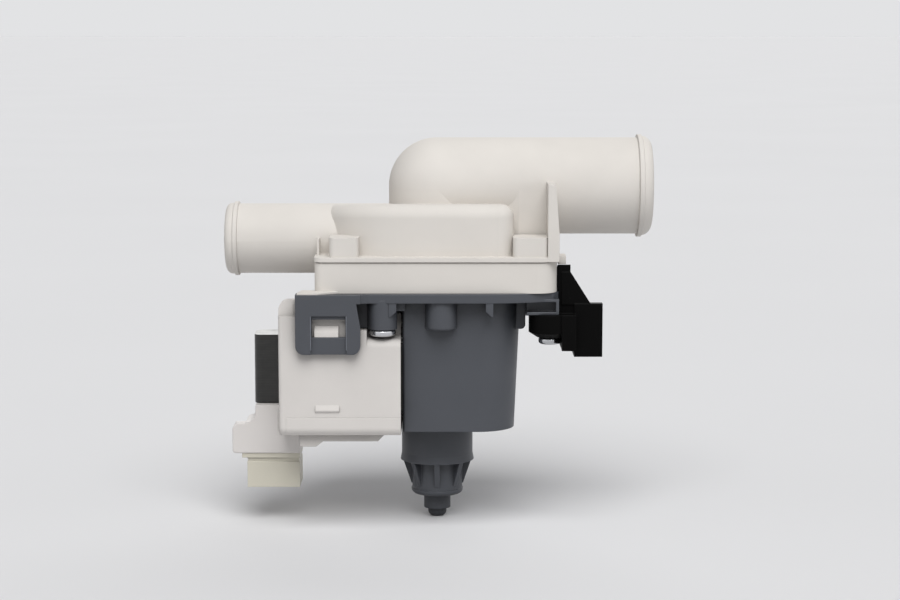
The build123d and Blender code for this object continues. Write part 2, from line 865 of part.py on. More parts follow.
def winding(side):
    """The wire wound between the flanges of a bobbin."""
    x0 = bobbin_flange - coil_left
    x1 = -coil_right - bobbin_flange
    inner = core_fit + bobbin_wall
    body = around_limb(x0, x1, inner + winding_build, side)
    edges = body.edges().filter_by(Axis.X)
    return fillet(edges, winding_build / 2) - around_limb(x0, x1, inner, side)


def winding_tape(side):
    """The insulating tape round a winding."""
    x0 = bobbin_flange - coil_left
    x1 = -coil_right - bobbin_flange
    inner = core_fit + bobbin_wall + winding_build
    outer = around_limb(x0, x1, inner + tape_thickness, side)
    outer = fillet(outer.edges().filter_by(Axis.X), winding_build / 2 + tape_thickness)
    hole = around_limb(x0, x1, inner, side)
    return outer - fillet(hole.edges().filter_by(Axis.X), winding_build / 2)


def thermal_protector():
    """The thermal protector that lies on the front winding."""
    middle_x = -(coil_left + coil_right) / 2
    middle_y = -(limb_inner + limb_outer) / 2
    z0 = z_stack_top + core_fit + coil_build
    body = box(middle_x - protector_length / 2, middle_x + protector_length / 2,
               middle_y - protector_width / 2, middle_y + protector_width / 2,
               z0, z0 + protector_height)
    return fillet(body.edges().filter_by(Axis.X), 1.2)


def cover_notch(wall):
    """The room at the cover's top for a housing screw and the tie, grown by a wall."""
    front = -cover_half_depth
    back = front + cover_notch_depth + wall
    z_front = z_notch_front - wall
    outline = [(front - 1, z_front), (front, z_front), (back, z_notch_back - wall),
               (back, z_cover_top + 1), (front - 1, z_cover_top + 1)]
    notch = prism_along_x(outline, -cover_notch_left - wall, 1 - cover_right)
    notch += box(-tie_notch_left - wall, -cover_notch_left, front - 1, back,
                 z_tie_notch - wall, z_cover_top + 1)
    return mirrored_in_y(notch)


def cover_skid():
    """The skid under the cover, with its deeper heel at the left."""
    z_skid = z_cover - skid_thickness
    z_heel = z_skid - skid_heel_thickness
    outline = [(-skid_left, z_cover + 1), (-skid_left, z_heel),
               (-skid_heel_right - skid_slant, z_heel), (-skid_heel_right, z_skid),
               (-skid_right - skid_slant, z_skid), (-skid_right, z_cover),
               (-skid_right, z_cover + 1)]
    half = cover_half_depth - skid_inset
    return prism_along_y(outline, -half, half)


def cover_body():
    """The outside of the cover, with a slightly proud band round its lower edge."""
    depth = cover_half_depth
    shell = box(-cover_left, -cover_right, -depth, depth, z_cover, z_cover_top)
    shell = fillet(shell.edges().filter_by(Axis.X).sort_by(Axis.Z)[:2], cover_under_round)
    shell = fillet(shell.edges().filter_by(Axis.Z).sort_by(Axis.X)[:2], cover_corner)
    shell -= box(-cover_left - 1, 1 - cover_right, cover_step_y, depth + 1,
                 z_cover_rear, z_cover_top + 1)
    band = box(-band_end, -cover_right, -depth - band_proud, depth + band_proud,
               z_cover, z_cover + band_height)
    band = fillet(band.edges().filter_by(Axis.X).sort_by(Axis.Z)[:2], cover_under_round)
    band = fillet(band.edges().filter_by(Axis.Z).sort_by(Axis.X)[:2], cover_corner)
    spur = [(-cover_left - spur_proud, z_cover), (-cover_left - spur_proud,
            z_cover + spur_height - spur_proud), (-cover_left, z_cover + spur_height),
            (1 - cover_left, z_cover + spur_height), (1 - cover_left, z_cover)]
    return shell + band + prism_along_y(spur, -spur_front, -spur_back)


def coil_cover():
    """The cover over both coils: a shell open to the block, with shoulder, catch and grip."""
    depth = cover_half_depth
    shell = cover_body() - cover_notch(0)
    along = shell.edges().filter_by(Axis.X)
    slope_edges = [along.sort_by_distance((-cover_notch_left, y, z_notch_front))[0]
                   for y in (-depth, depth)]
    shell = fillet(slope_edges, cover_notch_round)
    front = shoulder_setback - depth
    side = [(front, z_cover_top - 1), (front, z_cover_top),
            (front + shoulder_lean, z_cover_top + shoulder_height),
            (front + shoulder_depth, z_cover_top + shoulder_height),
            (front + shoulder_depth, z_cover_top - 1)]
    shoulder = prism_along_x(side, -cover_left, shoulder_reach - cover_left)
    outer_top = shoulder.edges().filter_by(Axis.Y).sort_by(Axis.Z)[-2:].sort_by(Axis.X)[0]
    shoulder = fillet(outer_top, shoulder_round)
    shoulder += box(-cover_left + shoulder_reach - 1, -shelf_right, front,
                    front + shelf_depth, z_cover_top - 1, z_cover_top + shelf_height)
    hollow = box(cover_wall - cover_left, 1 - cover_right, cover_wall - depth,
                 depth - cover_wall, z_cover + cover_wall, z_cover_top - cover_wall)
    hollow -= box(-cover_left, 1 - cover_right, cover_step_y - cover_wall, depth,
                  z_cover_rear - cover_wall, z_cover_top)
    hollow -= cover_notch(cover_notch_wall)
    hollow += box(shoulder_reach - cover_left, -shelf_right - cover_wall, front + cover_wall,
                  front + shelf_depth - cover_wall, z_cover_top - 2 * cover_wall,
                  z_cover_top + shelf_height - cover_wall)
    cover = shell + shoulder + cover_skid() - hollow
    z_catch = z_window + catch_height
    catch = [(cover_wall - depth, z_window), (-depth - catch_proud, z_window),
             (-depth - catch_proud, z_window + catch_face_height),
             (-depth - catch_lip, z_catch), (cover_wall - depth, z_catch)]
    cover += prism_along_x(catch, -catch_left, -catch_right)
    z_grip = z_cover + grip_above_base
    grip = [(cover_wall - depth, z_grip), (-depth, z_grip),
            (-depth - grip_proud, z_grip + 0.25 * grip_height),
            (-depth - grip_proud, z_grip + 0.4 * grip_height),
            (-depth, z_grip + grip_height), (cover_wall - depth, z_grip + grip_height)]
    cover += prism_along_x(grip, -grip_left, -grip_right)
    window = lug_window_fit + lug_depth / 2
    cover -= box(-cover_left - 1, cover_wall + 0.1 - cover_left, -window, window,
                 z_stack - lug_window_fit, z_stack_top + lug_window_fit)
    return cover - cylinder(well_radius + sliding_gap, z_collar, z_block + sliding_gap)


# Terminals

def terminal_housing():
    """The block under the lug that carries the connector, with its neck to the cover."""
    body = box(-terminal_left, -terminal_right, -terminal_front, terminal_back,
               z_terminal, z_terminal_top)
    left_edges = body.edges().filter_by(Axis.Y).sort_by(Axis.X)[:2].sort_by(Axis.Z)
    body = fillet(left_edges[-1], terminal_corner)
    low_left = body.edges().filter_by(Axis.Y).sort_by(Axis.Z)[:2].sort_by(Axis.X)[0]
    body = fillet(low_left, terminal_round)
    body = fillet(body.faces().sort_by(Axis.Y)[0].edges(), terminal_round / 2)
    z_back = z_terminal_top - terminal_top_slope
    start = terminal_round - terminal_front
    over = [(start, z_terminal_top), (terminal_back + 1, z_back),
            (terminal_back + 1, z_terminal_top + 1), (start, z_terminal_top + 1)]
    body -= prism_along_x(over, -terminal_left - 1, 1 - terminal_right)
    z_neck = z_stack - core_fit
    low = z_terminal_top - terminal_top_slope
    flare = ThreePointArc((-neck_left, z_terminal_top + neck_flare),
                          (-neck_left - 0.29 * neck_flare, z_terminal_top + 0.29 * neck_flare),
                          (-neck_left - neck_flare, z_terminal_top))
    sides = Polyline((-neck_left - neck_flare, z_terminal_top), (-neck_left - neck_flare, low),
                     (-cover_left, low), (-cover_left, z_neck), (-neck_left, z_neck),
                     (-neck_left, z_terminal_top + neck_flare))
    outline = Plane.XZ * make_face(flare.edges() + sides.edges())
    neck = Pos(0, neck_back, 0) * extrude(outline, terminal_front + neck_back, dir=(0, -1, 0))
    clear = box(-cover_left, 0, -terminal_front - 1, terminal_back + 1,
                z_cover - 0.1, z_neck + 1)
    return body + neck - clear


def connector_header():
    """The cream connector, open downwards."""
    right = -terminal_right
    z_flange = z_terminal - connector_flange_height
    body = box(-connector_left, right, -connector_front, connector_back, z_connector, z_flange)
    flange = box(-connector_flange_left, right, -connector_front - 0.4, connector_back + 0.4,
                 z_flange, z_terminal)
    z_groove = z_terminal - connector_groove_below
    cut = connector_groove_depth
    band = box(-connector_left, right, -connector_front, connector_back,
               z_groove - connector_groove_height, z_groove)
    core = box(cut - connector_left, right - cut, cut - connector_front, connector_back - cut,
               z_groove - connector_groove_height, z_groove)
    socket = box(connector_wall - connector_left, right - connector_wall,
                 connector_wall - connector_front, connector_back - connector_wall,
                 z_connector, z_flange - connector_floor)
    return body + flange - (band - core) - socket


def terminal_pins():
    """The two contact blades in the connector."""
    middle_x = -(connector_left + terminal_right) / 2
    middle_y = (connector_back - connector_front) / 2
    z_top = z_terminal - connector_flange_height - connector_floor
    pins = []
    for side in (-1, 1):
        x = middle_x + side * pin_spacing / 2
        pins.append(box(x - pin_width / 2, x + pin_width / 2, middle_y - pin_thickness / 2,
                        middle_y + pin_thickness / 2, z_connector + pin_tip_inset, z_top))
    return Compound(children=pins)


# Fasteners and seal

def pan_screw(x, y, z_seat, length, head_radius, head_height):
    """A pan-head screw driven upwards, with a cross recess for its driver."""
    shank = cylinder(screw_shank_radius, z_seat - 0.1, z_seat + length, x, y)
    tip = shank.edges().sort_by(Axis.Z)[-1]
    shank = chamfer(tip, screw_shank_radius * 0.6)
    head = cylinder(head_radius, z_seat - head_height, z_seat, x, y)
    head = fillet(head.edges().filter_by(GeomType.CIRCLE), head_height * 0.4)
    long = cross_length / 2
    wide = cross_width / 2
    z_cross = z_seat - head_height + cross_depth
    cross = box(x - long, x + long, y - wide, y + wide, z_seat - head_height, z_cross)
    cross += box(x - wide, x + wide, y - long, y + long, z_seat - head_height, z_cross)
    return shank + head - cross


def housing_screws():
    """The screws that hold the support to the volute."""
    z_seat = z_plate - screw_boss_drop
    screws = [pan_screw(x, y, z_seat, screw_length, screw_head_radius, screw_head_height)
              for x, y in housing_screw_places()]
    return Compound(children=screws)


def bracket_screw():
    """The screw that holds the bracket to its seat."""
    z_seat = z_plate - seat_drop - bracket_boss_length
    return pan_screw(bracket_boss_x, -bracket_boss_y, z_seat, bracket_screw_length,
                     bracket_screw_head_radius, bracket_screw_head_height)


def housing_seal():
    """The ring seal in the groove of the support."""
    z_middle = z_plate_top - seal_groove_depth + seal_cord_radius
    return Pos(0, 0, z_middle) * Torus(seal_ring_radius, seal_cord_radius)


def mounting_bracket():
    """The bracket: screw boss, blade with its web, and the holder for the machine's frame."""
    z_top = z_plate_top + blade_top_above_plate
    z_holder = z_plate_top - holder_bottom_drop
    z_holder_top = z_plate_top - holder_top_drop
    z_foot_low = z_plate_top - blade_foot_drop
    z_seat = z_plate - seat_drop
    blade = [(blade_upper_left, z_top), (blade_left + blade_top_width, z_top),
             (blade_left + blade_top_width, z_top - blade_neck),
             (blade_left + blade_waist_width, z_holder_top),
             (blade_left + blade_waist_width, z_foot_low), (blade_foot_left, z_foot_low),
             (blade_foot_left, z_seat - bracket_boss_length + 0.5),
             (blade_left, z_seat - bracket_boss_length + 0.5),
             (blade_left, z_plate_top + sliding_gap),
             (blade_upper_left, z_plate_top + sliding_gap)]
    bracket = prism_along_y(blade, -blade_front, -blade_back)
    over = [(-blade_front, z_top), (1 - blade_back, z_top - blade_top_slope),
            (1 - blade_back, z_top + 1), (-blade_front, z_top + 1)]
    bracket -= prism_along_x(over, blade_upper_left - 1, blade_left + blade_top_width + 1)
    web = [(blade_left + 1, z_top - blade_neck), (blade_left + blade_top_width,
           z_top - blade_neck), (bracket_web_reach, z_holder_top - 0.5),
           (blade_left + 1, z_holder_top - 0.5)]
    bracket += prism_along_y(web, -bracket_web_front, -bracket_web_back)
    bracket += box(blade_foot_left, blade_left + blade_waist_width, -blade_foot_front,
                   -blade_back, z_foot_low, z_seat)
    outside = [(-holder_front, z_holder), (-holder_front, z_holder_top),
               (holder_top_depth - holder_front, z_holder_top),
               (-holder_back, z_holder_top - holder_back_drop), (-holder_back, z_holder)]
    bracket += prism_along_x(outside, holder_left, holder_right)
    boss = cylinder(bracket_boss_radius, z_seat - bracket_boss_length, z_seat,
                    bracket_boss_x, -bracket_boss_y)
    rim = boss.edges().sort_by(Axis.Z)[0]
    underside = boss.faces().sort_by(Axis.Z)[0]
    bracket += chamfer(rim, bracket_boss_slant_width, bracket_boss_slant_height,
                       reference=underside)
    wall = holder_wall
    inside = [(wall - holder_front, z_holder - 1), (wall - holder_front, z_holder_top - wall),
              (holder_top_depth - holder_front - wall / 4, z_holder_top - wall),
              (-wall - holder_back, z_holder_top - holder_back_drop - wall / 2),
              (-wall - holder_back, z_holder - 1)]
    bracket -= prism_along_x(inside, holder_left + wall, holder_right - wall)
    bracket -= cylinder(screw_shank_radius + screw_fit, z_seat - bracket_boss_length - 1,
                        z_seat + 1, bracket_boss_x, -bracket_boss_y)
    z_head = z_seat - bracket_boss_length
    bracket -= cylinder(bracket_screw_head_radius + sliding_gap, z_head - 5, z_head,
                        bracket_boss_x, -bracket_boss_y)
    return bracket


# Rotor and bearings

z_low_bearing = z_collar + well_floor
z_low_washer = z_low_bearing + bearing_length
z_disc = z_plate_top - holder_disc_length
z_high_bearing = z_disc + washer_thickness
z_high_seal = z_plate_top - shaft_seal_length
z_magnet = (z_stack + z_stack_top - magnet_length) / 2
z_coupling_roof = z_impeller + coupling_depth
z_impeller_eye = z_coupling_roof + coupling_roof
z_clip = z_impeller_eye + sliding_gap
z_shaft_top = z_clip + clip_thickness + shaft_end


def lower_bearing():
    """The plain bearing at the bottom of the well."""
    return ring(shaft_radius + running_fit, bearing_radius, z_low_bearing, z_low_washer)


def lower_cushion():
    """The rubber cushion round the lower bearing."""
    return ring(bearing_radius, cushion_radius, z_low_bearing, z_low_washer)


def bearing_holder():
    """The disc that closes the rotor well and holds the upper bearing and the shaft seal."""
    disc = cylinder(well_bore_radius - seat_fit, z_disc, z_plate_top)
    disc -= cylinder(shaft_radius + 2 * sliding_gap, z_disc, z_plate_top)
    disc -= cylinder(cushion_radius, z_disc, z_high_bearing + bearing_length)
    return disc - cylinder(shaft_seal_radius, z_high_seal, z_plate_top)


def upper_bearing():
    """The plain bearing under the impeller."""
    return ring(shaft_radius + running_fit, bearing_radius, z_high_bearing,
                z_high_bearing + bearing_length)


def upper_cushion():
    """The rubber cushion round the upper bearing."""
    return ring(bearing_radius, cushion_radius, z_high_bearing, z_high_bearing + bearing_length)


def shaft_seal():
    """The seal that keeps water out of the rotor well."""
    return ring(shaft_radius + running_fit, shaft_seal_radius, z_high_seal, z_plate_top)


def seal_cap():
    """The cap that keeps the shaft seal in its seat."""
    return ring(shaft_radius + sliding_gap, seal_cap_radius, z_plate_top,
                z_plate_top + seal_cap_thickness)


def rotor_shaft():
    """The steel shaft."""
    shaft = cylinder(shaft_radius, z_low_bearing + shaft_above_floor, z_shaft_top)
    return chamfer(shaft.edges().filter_by(GeomType.CIRCLE), 0.3)


def rotor_hub():
    """The plastic hub that carries the magnet on the shaft."""
    z0 = z_magnet - hub_overhang
    z1 = z_magnet + magnet_length + hub_overhang
    hub = ring(shaft_radius, hub_radius, z0, z1)
    flange = magnet_radius - 1.5
    return hub + ring(hub_radius, flange, z0, z_magnet) + ring(
        hub_radius, flange, z_magnet + magnet_length, z1)


def rotor_magnet():
    """The two-pole ferrite magnet."""
    return ring(hub_radius, magnet_radius, z_magnet, z_magnet + magnet_length)


def thrust_washers():
    """The washers that take the end thrust of the rotor at each bearing."""
    low = ring(shaft_radius, washer_radius, z_low_washer + sliding_gap,
               z_low_washer + sliding_gap + washer_thickness)
    high = ring(shaft_radius, washer_radius, z_high_bearing - sliding_gap - washer_thickness,
                z_high_bearing - sliding_gap)
    return Compound(children=[low, high])


def shaft_driver():
    """The driver on the shaft, whose lug pushes the impeller round."""
    z0 = z_impeller + driver_lift
    z1 = z0 + driver_height
    lug = ring_sector(driver_radius - 0.5, coupling_radius - sliding_gap, 0, lug_width, z0, z1)
    return cylinder(driver_radius, z0, z1) + lug - cylinder(shaft_radius, z0, z1)


def impeller():
    """The open impeller, whose hub holds the free-turning coupling."""
    z_top = z_impeller + impeller_height
    z_back = z_impeller + impeller_disc
    wheel = cylinder(impeller_radius, z_impeller, z_back)
    wheel += cylinder(impeller_hub_radius, z_impeller, z_impeller_eye)
    outline = [(impeller_hub_radius - 1, z_back - 0.5), (impeller_radius - 0.2, z_back - 0.5),
               (impeller_radius - 0.2, z_top - 5), (impeller_radius - 6, z_top),
               (impeller_hub_radius + 2, z_top), (impeller_hub_radius - 1, z_impeller_eye - 1)]
    blade = prism_along_y(outline, -impeller_blade_thickness / 2, impeller_blade_thickness / 2)
    for index in range(impeller_blade_count):
        wheel += Rot(0, 0, 360 / impeller_blade_count * index) * blade
    wheel -= cylinder(coupling_radius, z_impeller, z_coupling_roof)
    wheel += ring_sector(driver_radius + sliding_gap, coupling_radius + 0.3, 180, lug_width,
                         z_impeller + driver_lift, z_coupling_roof + 0.2)
    return wheel - cylinder(shaft_radius + running_fit, z_impeller, z_impeller_eye + 1)


def coupling_dampers():
    """The rubber blocks on both sides of the lug in the impeller's hub."""
    z0 = z_impeller + driver_lift
    angle = (lug_width + damper_width) / 2
    blocks = [ring_sector(driver_radius + sliding_gap, coupling_radius, 180 + side * angle,
                          damper_width, z0, z_coupling_roof) for side in (-1, 1)]
    return Compound(children=blocks)


def impeller_clip():
    """The clip on the shaft that keeps the impeller on."""
    clip = ring(shaft_radius, clip_radius, z_clip, z_clip + clip_thickness)
    slot = box(0, clip_radius + 1, -shaft_radius * 0.6, shaft_radius * 0.6,
               z_clip, z_clip + clip_thickness)
    return clip - slot


def nodes():
    """Every sub-part by name."""
    return {
        "motor_support": motor_support(),
        "volute_base": volute_base(),
        "volute_housing": volute_housing(),
        "housing_seal": housing_seal(),
        "housing_screws": housing_screws(),
        "stator_core": stator_core(),
        "front_bobbin": bobbin(-1),
        "rear_bobbin": bobbin(1),
        "front_winding": winding(-1),
        "rear_winding": winding(1),
        "front_winding_tape": winding_tape(-1),
        "rear_winding_tape": winding_tape(1),
        "thermal_protector": thermal_protector(),
        "coil_cover": coil_cover(),
        "terminal_housing": terminal_housing(),
        "connector_header": connector_header(),
        "terminal_pins": terminal_pins(),
        "mounting_bracket": mounting_bracket(),
        "bracket_screw": bracket_screw(),
        "lower_bearing": lower_bearing(),
        "lower_cushion": lower_cushion(),
        "upper_bearing": upper_bearing(),
        "upper_cushion": upper_cushion(),
        "bearing_holder": bearing_holder(),
        "shaft_seal": shaft_seal(),
        "seal_cap": seal_cap(),
        "rotor_shaft": rotor_shaft(),
        "rotor_hub": rotor_hub(),
        "rotor_magnet": rotor_magnet(),
        "thrust_washers": thrust_washers(),
        "shaft_driver": shaft_driver(),
        "impeller": impeller(),
        "coupling_dampers": coupling_dampers(),
        "impeller_clip": impeller_clip(),
    }


os.makedirs("parts", exist_ok=True)
for name, solid in nodes().items():
    export_step(solid, f"parts/{name}.step")
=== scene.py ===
import math

import bpy
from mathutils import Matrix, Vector

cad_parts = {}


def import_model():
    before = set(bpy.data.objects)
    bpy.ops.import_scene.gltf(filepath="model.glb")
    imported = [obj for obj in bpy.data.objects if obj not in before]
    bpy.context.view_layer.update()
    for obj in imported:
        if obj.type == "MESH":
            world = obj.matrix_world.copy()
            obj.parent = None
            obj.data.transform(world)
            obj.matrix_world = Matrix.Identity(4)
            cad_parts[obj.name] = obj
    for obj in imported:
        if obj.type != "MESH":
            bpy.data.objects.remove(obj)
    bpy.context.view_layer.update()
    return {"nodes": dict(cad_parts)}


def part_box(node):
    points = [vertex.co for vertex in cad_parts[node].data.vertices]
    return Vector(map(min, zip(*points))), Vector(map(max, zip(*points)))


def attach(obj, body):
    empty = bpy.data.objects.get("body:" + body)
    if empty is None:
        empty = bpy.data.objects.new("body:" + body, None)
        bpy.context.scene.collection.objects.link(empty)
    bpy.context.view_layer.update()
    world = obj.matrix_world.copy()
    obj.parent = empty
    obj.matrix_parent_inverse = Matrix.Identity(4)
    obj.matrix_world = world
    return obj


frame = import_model()
nodes = frame["nodes"]

# Colours as they look under plain light, in linear values
white_housing = (0.752, 0.718, 0.675, 1)
white_cover = (0.727, 0.696, 0.667, 1)
white_terminal = (0.74, 0.708, 0.684, 1)
cream = (0.66, 0.628, 0.53, 1)
gray = (0.0715, 0.0765, 0.0885, 1)
black = (0.0024, 0.0023, 0.0023, 1)
rubber_black = (0.014, 0.014, 0.014, 1)
steel = (0.62, 0.62, 0.60, 1)
zinc = (0.62, 0.63, 0.65, 1)
lamination = (0.0155, 0.0148, 0.0132, 1)
lamination_dark = (0.0065, 0.0062, 0.0058, 1)
copper = (0.48, 0.17, 0.06, 1)
tape_yellow = (0.66, 0.47, 0.07, 1)
brass = (0.66, 0.55, 0.30, 1)
ferrite = (0.03, 0.03, 0.032, 1)
floor_colour = (0.77, 0.77, 0.78, 1)
# The share of that colour with which the floor lights what stands over it
floor_bounce = 0.85
surround_shown = (0.762, 0.766, 0.778, 1)
surround_light = (0.08, 0.081, 0.084, 1)

# Sizes and places in metres, in the frame: the floor lies under the tip of the tail
support_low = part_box("motor_support")[0]
floor_height = support_low.z
floor_radius = 40.0

# The latch tab's recessed strip, and the light line along each of its sides, a painted highlight
tab_front = support_low.y
strip_left = -0.0478
strip_right = -0.0340
strip_low = 0.0662
strip_high = 0.0792
line_width = 0.0003
line_depth = 0.0005

# The photograph's camera: a long lens in front, looking down a little, in millimetres,
# metres and degrees
camera_lens = 84.0
camera_sensor = 36.0
camera_place = (0.0051, -0.8250, 0.18805)
camera_tilt = 7.43


def scaled(colour, factor):
    """A colour made lighter or darker."""
    return tuple(min(1.0, c * factor) for c in colour[:3]) + (1,)


class Nodes:
    """A short way to add and join shader nodes in one material."""

    def __init__(self, name):
        self.material = bpy.data.materials.new(name)
        self.material.use_nodes = True
        self.tree = self.material.node_tree
        self.shader = self.tree.nodes["Principled BSDF"]
        self.place = self.add("ShaderNodeTexCoord").outputs["Object"]

    def add(self, kind, **settings):
        """A new node, with its settings."""
        node = self.tree.nodes.new(kind)
        for key, value in settings.items():
            setattr(node, key, value)
        return node

    def join(self, source, target):
        self.tree.links.new(source, target)

    def noise(self, scale, detail=3.0, stretch=None):
        """Noise in the object's own space, with an optional stretch along the axes.

        Its marks are about 1 / scale metres wide.
        """
        texture = self.add("ShaderNodeTexNoise")
        texture.inputs["Scale"].default_value = scale
        texture.inputs["Detail"].default_value = detail
        place = self.place
        if stretch:
            mapping = self.add("ShaderNodeMapping")
            mapping.inputs["Scale"].default_value = stretch
            self.join(place, mapping.inputs["Vector"])
            place = mapping.outputs["Vector"]
        self.join(place, texture.inputs["Vector"])
        return texture.outputs["Fac"]

    def ranged(self, value, low, high, start=0.3, end=0.7):
        """A value from start to end, mapped to low to high."""
        node = self.add("ShaderNodeMapRange")
        self.join(value, node.inputs["Value"])
        node.inputs["From Min"].default_value = start
        node.inputs["From Max"].default_value = end
        node.inputs["To Min"].default_value = low
        node.inputs["To Max"].default_value = high
        return node.outputs["Result"]

    def maths(self, operation, first, second=None):
        """One step of arithmetic on one or two values, each a number or a socket."""
        node = self.add("ShaderNodeMath", operation=operation)
        for socket, value in zip(node.inputs, (first, second)):
            if value is None:
                continue
            if isinstance(value, (int, float)):
                socket.default_value = value
            else:
                self.join(value, socket)
        return node.outputs["Value"]

    def mixed(self, factor, first, second):
        """Two colours mixed by a factor."""
        node = self.add("ShaderNodeMix", data_type="RGBA")
        self.join(factor, node.inputs["Factor"])
        for socket, colour in ((node.inputs[6], first), (node.inputs[7], second)):
            if isinstance(colour, tuple):
                socket.default_value = colour
            else:
                self.join(colour, socket)
        return node.outputs[2]

    def one_axis(self, vector, axis):
        """The part of a vector along one axis."""
        apart = self.add("ShaderNodeSeparateXYZ")
        self.join(vector, apart.inputs["Vector"])
        return apart.outputs[axis]

    def soft_edges(self, radius):
        """The surface's direction, with its edges rounded by a radius."""
        node = self.add("ShaderNodeBevel", samples=6)
        node.inputs["Radius"].default_value = radius
        return node.outputs["Normal"]

    def bump(self, height, distance, strength=1.0, normal=None):
        """Fine relief from a height, laid over a direction where one is given."""
        node = self.add("ShaderNodeBump")
        node.inputs["Strength"].default_value = strength
        node.inputs["Distance"].default_value = distance
        self.join(height, node.inputs["Height"])
        if normal:
            self.join(normal, node.inputs["Normal"])
        return node.outputs["Normal"]

    def sharp_edge_mask(self, radius):
        """Where the surface turns sharply: 0 on flats, towards 1 on edges."""
        rounded = self.soft_edges(radius)
        flat = self.add("ShaderNodeNewGeometry").outputs["Normal"]
        dot = self.add("ShaderNodeVectorMath", operation="DOT_PRODUCT")
        self.join(rounded, dot.inputs[0])
        self.join(flat, dot.inputs[1])
        return self.ranged(dot.outputs["Value"], 1.0, 0.0, 0.75, 0.995)


def moulded_plastic(name, colour, roughness, grain=0.00003, edge=0.0004, wear_and_highlight=1.06, sheen=0.5,
                    dust_and_shade=0.72, dust_and_shade_reach=0.004, dust_and_shade_share=0.55, dust_and_shade_open=0.95):
    """Injection-moulded plastic: fine grain, faint flow marks, edges lightened by rubbing and by
    a painted highlight, corners darkened by painted shade and dirt.

    The edge factor and the corner factor scale the colour, at edges and in corners. The corner
    darkening, mostly painted shade of corners and of spots under overhangs, reaches as far from a
    corner as the reach argument says, in metres. It starts where the open argument's share of the
    surroundings is open, and covers the share argument's part of the deepest corners.
    """
    m = Nodes(name)
    blotches = m.noise(38, 4)
    streaks = m.noise(16, 5, (1, 1, 3.5))
    tone = m.mixed(m.ranged(blotches, 0, 1), scaled(colour, 0.955), scaled(colour, 1.03))
    tone = m.mixed(m.ranged(streaks, 0, 0.3), tone, scaled(colour, 0.93))
    # Lighter edges: rubbed plastic, and a painted highlight where the edge factor is large
    lit_and_worn_edges = m.maths("MULTIPLY", m.sharp_edge_mask(edge), m.ranged(m.noise(260, 3), 0.15, 0.9))
    tone = m.mixed(lit_and_worn_edges, tone, scaled(colour, wear_and_highlight))
    # Darker where the surroundings are closed in: painted shade in corners and under overhangs,
    # with a little dirt
    hollow = m.add("ShaderNodeAmbientOcclusion", samples=6)
    hollow.inputs["Distance"].default_value = dust_and_shade_reach
    dust_and_shade_mask = m.maths("MULTIPLY", m.ranged(hollow.outputs["AO"], dust_and_shade_share, 0.0, 0.35, dust_and_shade_open),
                   m.ranged(m.noise(90, 3), 0.6, 1.0))
    tone = m.mixed(dust_and_shade_mask, tone, scaled(colour, dust_and_shade))
    m.join(tone, m.shader.inputs["Base Color"])
    m.join(m.ranged(m.noise(70, 5), roughness - 0.06, roughness + 0.07),
           m.shader.inputs["Roughness"])
    m.shader.inputs["Specular IOR Level"].default_value = sheen
    wavy = m.bump(m.noise(45, 2), 0.00012, 0.25, m.soft_edges(edge))
    m.join(m.bump(m.noise(2600, 2), grain, 0.55, wavy), m.shader.inputs["Normal"])
    return m.material


def rubber(name, colour=rubber_black):
    """Soft black rubber with bloom on it."""
    m = Nodes(name)
    bloom = m.ranged(m.noise(120, 5), 0, 1)
    m.join(m.mixed(bloom, colour, scaled(colour, 2.2)), m.shader.inputs["Base Color"])
    m.join(m.ranged(m.noise(300, 3), 0.62, 0.85), m.shader.inputs["Roughness"])
    m.join(m.bump(m.noise(1500, 3), 0.00004, 0.5, m.soft_edges(0.0003)),
           m.shader.inputs["Normal"])
    return m.material


def bare_metal(name, colour, roughness, brushed=(1, 1, 30), grain=0.00001):
    """Bare or plated metal with fine marks along one way and a little tarnish."""
    m = Nodes(name)
    tarnish = m.ranged(m.noise(85, 6), 0, 1, 0.35, 0.75)
    m.join(m.mixed(tarnish, colour, scaled(colour, 0.72)), m.shader.inputs["Base Color"])
    m.join(m.ranged(m.noise(240, 5, brushed), roughness - 0.08, roughness + 0.1),
           m.shader.inputs["Roughness"])
    m.shader.inputs["Metallic"].default_value = 1.0
    m.join(m.bump(m.noise(700, 4, brushed), grain, 0.6, m.soft_edges(0.00025)),
           m.shader.inputs["Normal"])
    return m.material


def laminated_steel(name, sheet=0.00065):
    """Core sheets on edge: dark varnished sides with a line at each sheet, and a bright top."""
    m = Nodes(name)
    sheets = m.maths("FRACT", m.maths("MULTIPLY", m.one_axis(m.place, "Z"), 1 / sheet))
    line = m.ranged(m.maths("ABSOLUTE", m.maths("SUBTRACT", sheets, 0.5)), 0, 1, 0.32, 0.5)
    patchy = m.ranged(m.noise(130, 6, (1, 1, 4)), 0, 1)
    side = m.mixed(patchy, scaled(lamination, 0.8), scaled(lamination, 1.35))
    side = m.mixed(line, side, lamination_dark)
    top = m.mixed(m.ranged(m.noise(60, 5, (6, 1, 1)), 0, 1), scaled(steel, 0.85), steel)
    facing = m.add("ShaderNodeNewGeometry").outputs["Normal"]
    up = m.ranged(m.one_axis(facing, "Z"), 0, 1, 0.6, 0.9)
    m.join(m.mixed(up, side, top), m.shader.inputs["Base Color"])
    m.join(m.ranged(up, 0.75, 0.3, 0, 1), m.shader.inputs["Metallic"])
    m.join(m.ranged(m.noise(350, 4), 0.36, 0.58), m.shader.inputs["Roughness"])
    m.join(m.ranged(up, 0.8, 0.0, 0, 1), m.shader.inputs["Coat Weight"])
    m.shader.inputs["Coat Roughness"].default_value = 0.25
    m.join(m.bump(line, 0.0001, -0.7, m.soft_edges(0.0002)), m.shader.inputs["Normal"])
    return m.material


